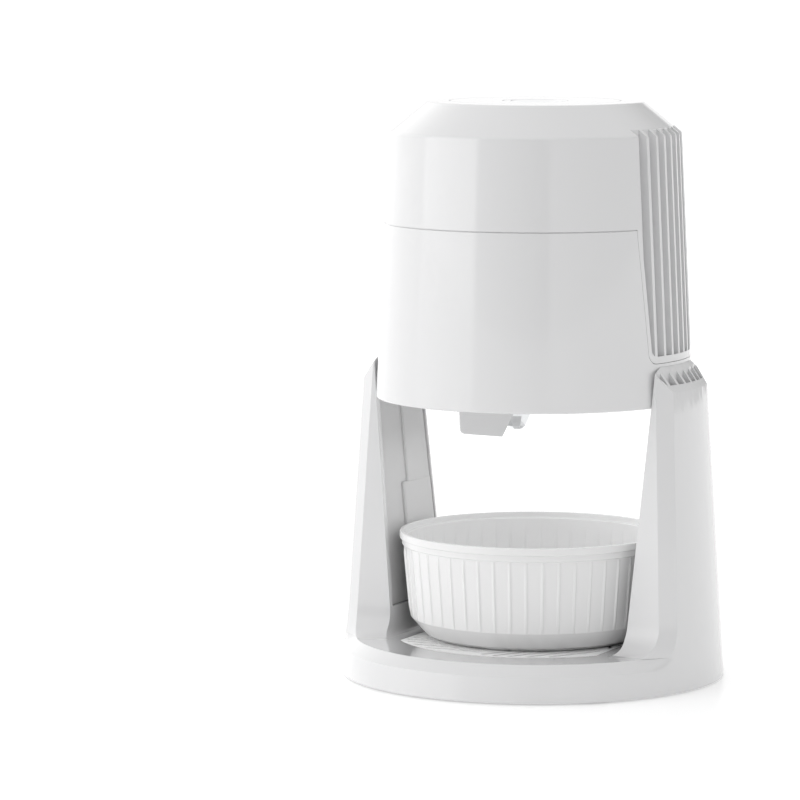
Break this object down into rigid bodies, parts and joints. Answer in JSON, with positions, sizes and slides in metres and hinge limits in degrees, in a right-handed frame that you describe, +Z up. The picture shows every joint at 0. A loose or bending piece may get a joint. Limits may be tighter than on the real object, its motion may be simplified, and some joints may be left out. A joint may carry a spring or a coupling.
{
  "type": "shaved ice machine",
  "caption": "Countertop electric shaved ice machine: motor head between two legs over a round base with a drip tray and ribbed bowl.",
  "frame": {"origin": "centre of the footprint on the table", "axes": "+Z up, -Y to the front, +X to the right seen from the front"},
  "size_m": [0.2336, 0.2338, 0.35],
  "materials": {
    "white_shell": "glossy white",
    "bowl_white": "glossy white, slightly soft",
    "inner_white": "satin white",
    "chrome": "polished",
    "steel": "satin",
    "motor_steel": "zinc plated",
    "brass": "machined",
    "rubber": "matte",
    "black_plastic": "fine matte",
    "board_green": "solder mask"
  },
  "bodies": {
    "stand": {"stand_shell": "white_shell", "base_plate": "inner_white", "foot_front_left": "rubber", "foot_front_right": "rubber", "foot_rear_left": "rubber", "foot_rear_right": "rubber", "leg_cover_left": "inner_white", "leg_cover_right": "inner_white", "chamber_housing": "white_shell", "ice_chamber": "inner_white", "blade_carrier": "inner_white", "ice_chute": "white_shell"},
    "blade": {"blade": "steel"},
    "adjust_knob": {"adjust_knob": "chrome"},
    "drip_tray": {"drip_pan": "inner_white"},
    "tray_grille": {"drip_grille": "white_shell"},
    "bowl": {"bowl": "bowl_white"},
    "motor_unit": {"motor_housing": "white_shell", "top_cap": "white_shell", "micro_switch": "black_plastic", "control_board": "board_green", "motor_can": "motor_steel", "gear_plate": "motor_steel", "unit_floor": "inner_white", "seal_ring": "rubber", "power_inlet": "black_plastic"},
    "power_button": {"power_button": "chrome", "button_spring": "steel"},
    "rotor": {"motor_shaft": "steel", "motor_fan": "black_plastic", "pinion": "brass"},
    "spindle": {"spindle_tube": "steel", "drive_gear": "inner_white"},
    "pusher": {"pusher_rod": "steel", "pusher_disc": "inner_white"}
  },
  "joints": [
    {"name": "tray_lift", "type": "slide", "parent": "stand", "child": "drip_tray", "axis": [0, 0, 1], "range_m": [0, 0.03]},
    {"name": "grille_lift", "type": "slide", "parent": "drip_tray", "child": "tray_grille", "axis": [0, 0, 1], "range_m": [0, 0.03]},
    {"name": "bowl_pull", "type": "slide", "parent": "tray_grille", "child": "bowl", "axis": [0, -1, 0], "range_m": [0, 0.2]},
    {"name": "motor_unit_lift", "type": "slide", "parent": "stand", "child": "motor_unit", "axis": [0, 0, 1], "range_m": [0, 0.13]},
    {"name": "button_press", "type": "slide", "parent": "motor_unit", "child": "power_button", "axis": [0, 0, -1], "range_m": [0, 0.0024], "stiffness_N_per_m": 1500, "springref_m": -0.001, "deforming": ["button_spring"]},
    {"name": "spindle_spin", "type": "hinge", "parent": "motor_unit", "child": "spindle", "pos_m": [0, 0, 0.29], "axis": [0, 0, 1], "continuous": true},
    {"name": "rotor_spin", "type": "hinge", "parent": "motor_unit", "child": "rotor", "pos_m": [0, 0.036, 0.29], "axis": [0, 0, 1], "continuous": true},
    {"name": "pusher_slide", "type": "slide", "parent": "spindle", "child": "pusher", "axis": [0, 0, -1], "range_m": [0, 0.05]},
    {"name": "knob_turn", "type": "hinge", "parent": "stand", "child": "adjust_knob", "pos_m": [-0.0178, 0.0133, 0.16], "axis": [0, 0, 1], "range_deg": [0, 270]},
    {"name": "blade_raise", "type": "slide", "parent": "stand", "child": "blade", "axis": [0, 0, 1], "range_m": [0, 0.00101]}
  ],
  "couplings": [
    {"joint": "rotor_spin", "follows": "spindle_spin", "ratio": -5},
    {"joint": "blade_raise", "follows": "knob_turn", "m_per_rad": 0.000212}
  ]
}
